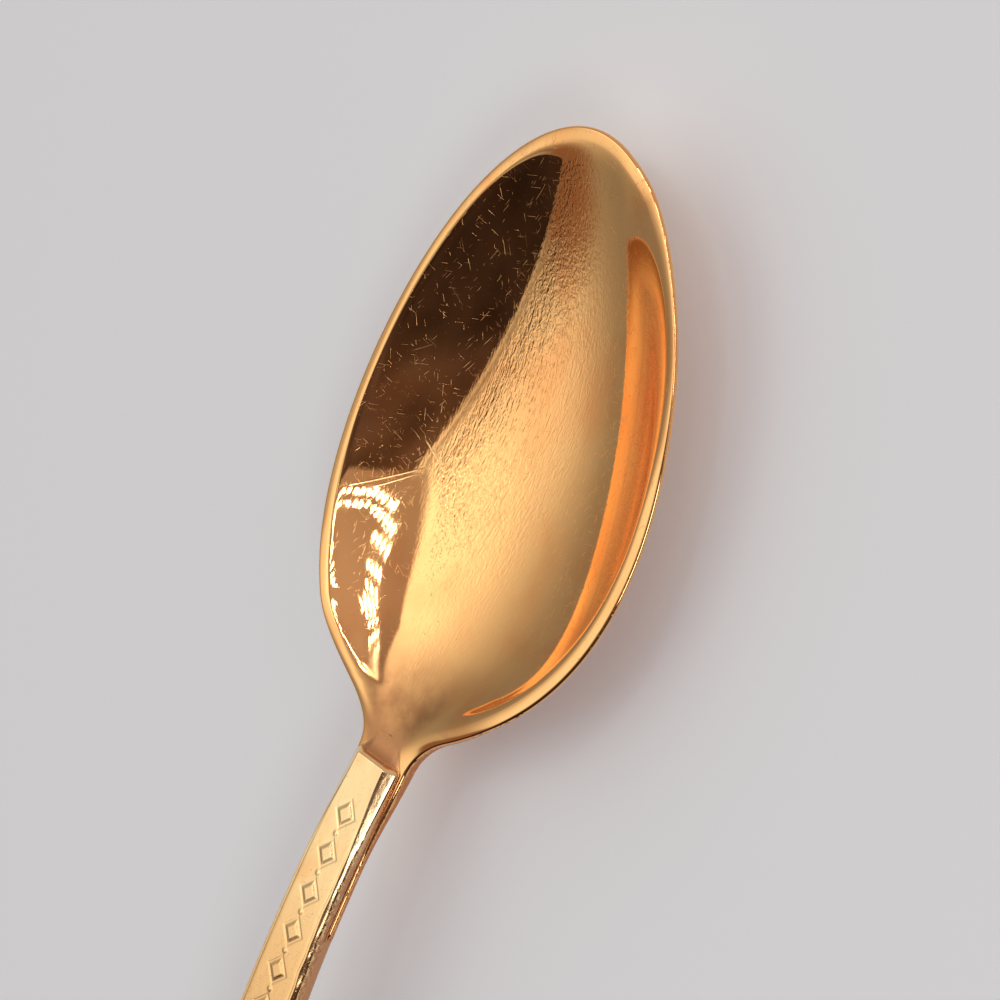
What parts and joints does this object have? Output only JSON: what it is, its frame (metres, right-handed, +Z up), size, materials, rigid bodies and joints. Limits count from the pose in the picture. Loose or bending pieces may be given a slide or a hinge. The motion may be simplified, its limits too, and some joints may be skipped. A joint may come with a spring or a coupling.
{
  "type": "teaspoon",
  "caption": "Polished copper teaspoon: an egg-shaped dished bowl with flared shoulders, and a slim arched handle lapped and brazed over the bowl's tongue.",
  "frame": {"origin": "middle of the spoon's length and width, on the plane on which it lies", "axes": "+X along the spoon towards the bowl's tip, +Y across it, +Z up out of the hollow of the bowl"},
  "size_m": [0.14, 0.0302, 0.0099],
  "materials": {
    "bowl_copper": "polished",
    "handle_copper": "polished",
    "braze_alloy": "satin"
  },
  "bodies": {
    "root": {"bowl": "bowl_copper", "handle": "handle_copper", "braze": "braze_alloy"}
  },
  "joints": []
}
